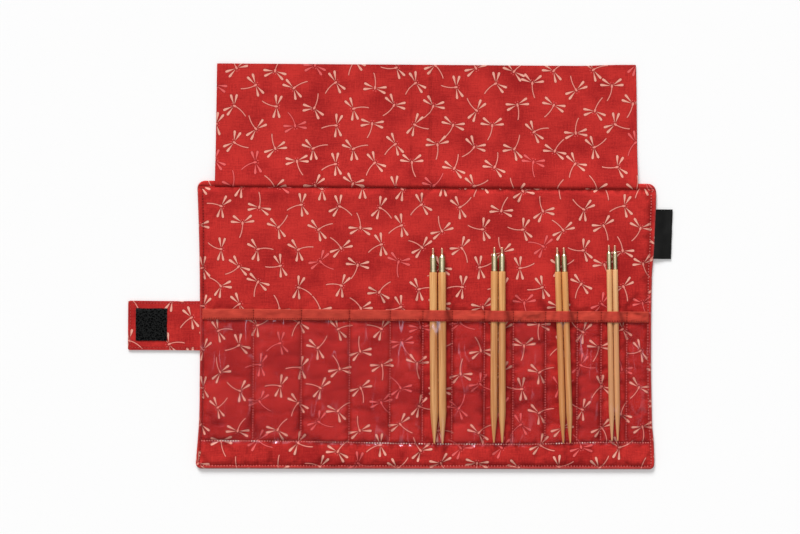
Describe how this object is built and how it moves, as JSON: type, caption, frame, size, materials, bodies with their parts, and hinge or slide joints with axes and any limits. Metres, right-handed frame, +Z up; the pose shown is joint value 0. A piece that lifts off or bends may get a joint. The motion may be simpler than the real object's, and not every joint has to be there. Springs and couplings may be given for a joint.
{
  "type": "knitting needle case",
  "caption": "Folding padded fabric case lying open, with stitched clear pockets, interchangeable bamboo needle tips, a hinged cover flap and a closing strap.",
  "frame": {"origin": "centre of the bounding box of the open case, on the table", "axes": "+X across the open case from the closing strap to the side label, +Y from the pockets up to the flap, +Z up out of the lining"},
  "size_m": [0.3516, 0.2616, 0.0088],
  "materials": {
    "outer_cotton": "red plain-weave cotton with a small scattered print",
    "printed_cotton": "red plain-weave cotton with a small scattered print",
    "wadding": "soft polyester wadding, hidden",
    "clear_vinyl": "clear soft vinyl sheet, glossy",
    "binding_tape": "rust red bias tape, fine weave",
    "bamboo": "fine-grained bamboo, satin",
    "ferrule_metal": "polished pale nickel brass",
    "stud_metal": "machined brass",
    "hook_tape": "black hook tape",
    "loop_tape": "black loop tape",
    "label_satin": "black woven satin, bare"
  },
  "bodies": {
    "left_panel": {"left_outer_cover": "outer_cotton", "left_wadding": "wadding", "left_lining": "printed_cotton", "left_pocket_vinyl": "clear_vinyl", "left_pocket_binding": "binding_tape"},
    "spine": {"spine_outer_cover": "outer_cotton", "spine_wadding": "wadding", "spine_lining": "printed_cotton", "spine_pocket_vinyl": "clear_vinyl", "spine_pocket_binding": "binding_tape"},
    "right_panel": {"right_outer_cover": "outer_cotton", "right_wadding": "wadding", "right_lining": "printed_cotton", "right_pocket_vinyl": "clear_vinyl", "right_pocket_binding": "binding_tape", "loop_patch": "loop_tape", "side_label": "label_satin"},
    "flap_left": {"flap_left_face": "printed_cotton", "flap_left_back": "printed_cotton"},
    "flap_spine": {"flap_spine_face": "printed_cotton", "flap_spine_back": "printed_cotton"},
    "flap_right": {"flap_right_face": "printed_cotton", "flap_right_back": "printed_cotton"},
    "strap_root": {"strap_root_face": "printed_cotton", "strap_root_back": "printed_cotton"},
    "strap_tongue": {"strap_tongue_face": "printed_cotton", "strap_tongue_back": "printed_cotton", "hook_patch": "hook_tape"},
    "needle_1_left": {"needle_1_left_shaft": "bamboo", "needle_1_left_ferrule": "ferrule_metal", "needle_1_left_stud": "stud_metal"},
    "needle_1_right": {"needle_1_right_shaft": "bamboo", "needle_1_right_ferrule": "ferrule_metal", "needle_1_right_stud": "stud_metal"},
    "needle_2_left": {"needle_2_left_shaft": "bamboo", "needle_2_left_ferrule": "ferrule_metal", "needle_2_left_stud": "stud_metal"},
    "needle_2_right": {"needle_2_right_shaft": "bamboo", "needle_2_right_ferrule": "ferrule_metal", "needle_2_right_stud": "stud_metal"},
    "needle_3_left": {"needle_3_left_shaft": "bamboo", "needle_3_left_ferrule": "ferrule_metal", "needle_3_left_stud": "stud_metal"},
    "needle_3_right": {"needle_3_right_shaft": "bamboo", "needle_3_right_ferrule": "ferrule_metal", "needle_3_right_stud": "stud_metal"},
    "needle_4_left": {"needle_4_left_shaft": "bamboo", "needle_4_left_ferrule": "ferrule_metal", "needle_4_left_stud": "stud_metal"},
    "needle_4_right": {"needle_4_right_shaft": "bamboo", "needle_4_right_ferrule": "ferrule_metal", "needle_4_right_stud": "stud_metal"}
  },
  "joints": [
    {"name": "right_fold", "type": "hinge", "parent": "spine", "child": "right_panel", "pos_m": [0.01773, 0, 0.0028], "axis": [0, 1, 0], "range_deg": [-90, 0]},
    {"name": "left_fold", "type": "hinge", "parent": "left_panel", "child": "spine", "pos_m": [0.00583, 0, 0.0028], "axis": [0, 1, 0], "range_deg": [-90, 0]},
    {"name": "flap_left_hinge", "type": "hinge", "parent": "left_panel", "child": "flap_left", "pos_m": [-0.05711, 0.05175, 0.00517], "axis": [-1, 0, 0], "range_deg": [-181.23, 0]},
    {"name": "flap_spine_hinge", "type": "hinge", "parent": "spine", "child": "flap_spine", "pos_m": [0.01178, 0.05175, 0.00517], "axis": [-1, 0, 0], "range_deg": [-181.23, 0]},
    {"name": "flap_right_hinge", "type": "hinge", "parent": "right_panel", "child": "flap_right", "pos_m": [0.08529, 0.05175, 0.00517], "axis": [-1, 0, 0], "range_deg": [-181.23, 0]},
    {"name": "strap_riser_hinge", "type": "hinge", "parent": "left_panel", "child": "strap_root", "pos_m": [-0.1296, -0.03775, 0.0009], "axis": [0, -1, 0], "range_deg": [-59.55, 0]},
    {"name": "strap_tongue_hinge", "type": "hinge", "parent": "strap_root", "child": "strap_tongue", "pos_m": [-0.15002, -0.03775, 0.0009], "axis": [0, -1, 0], "range_deg": [-120.45, 0]},
    {"name": "needle_1_left_slide", "type": "slide", "parent": "right_panel", "child": "needle_1_left", "axis": [-0.0134, 0.9999, 0], "range_m": [0, 0.095]},
    {"name": "needle_1_right_slide", "type": "slide", "parent": "right_panel", "child": "needle_1_right", "axis": [-0.0093, 1, 0], "range_m": [0, 0.095]},
    {"name": "needle_2_left_slide", "type": "slide", "parent": "right_panel", "child": "needle_2_left", "axis": [-0.0044, 1, 0], "range_m": [0, 0.095]},
    {"name": "needle_2_right_slide", "type": "slide", "parent": "right_panel", "child": "needle_2_right", "axis": [-0.0079, 1, 0], "range_m": [0, 0.095]},
    {"name": "needle_3_left_slide", "type": "slide", "parent": "right_panel", "child": "needle_3_left", "axis": [-0.0384, 0.9993, 0], "range_m": [0, 0.095]},
    {"name": "needle_3_right_slide", "type": "slide", "parent": "right_panel", "child": "needle_3_right", "axis": [-0.0401, 0.9992, 0], "range_m": [0, 0.095]},
    {"name": "needle_4_left_slide", "type": "slide", "parent": "right_panel", "child": "needle_4_left", "axis": [-0.0231, 0.9997, 0], "range_m": [0, 0.095]},
    {"name": "needle_4_right_slide", "type": "slide", "parent": "right_panel", "child": "needle_4_right", "axis": [-0.0223, 0.9998, 0], "range_m": [0, 0.095]}
  ],
  "couplings": [
    {"joint": "right_fold", "follows": "left_fold", "ratio": 1},
    {"joint": "flap_spine_hinge", "follows": "flap_left_hinge", "ratio": 1},
    {"joint": "flap_right_hinge", "follows": "flap_left_hinge", "ratio": 1},
    {"joint": "strap_tongue_hinge", "follows": "strap_riser_hinge", "ratio": 2.0229}
  ]
}
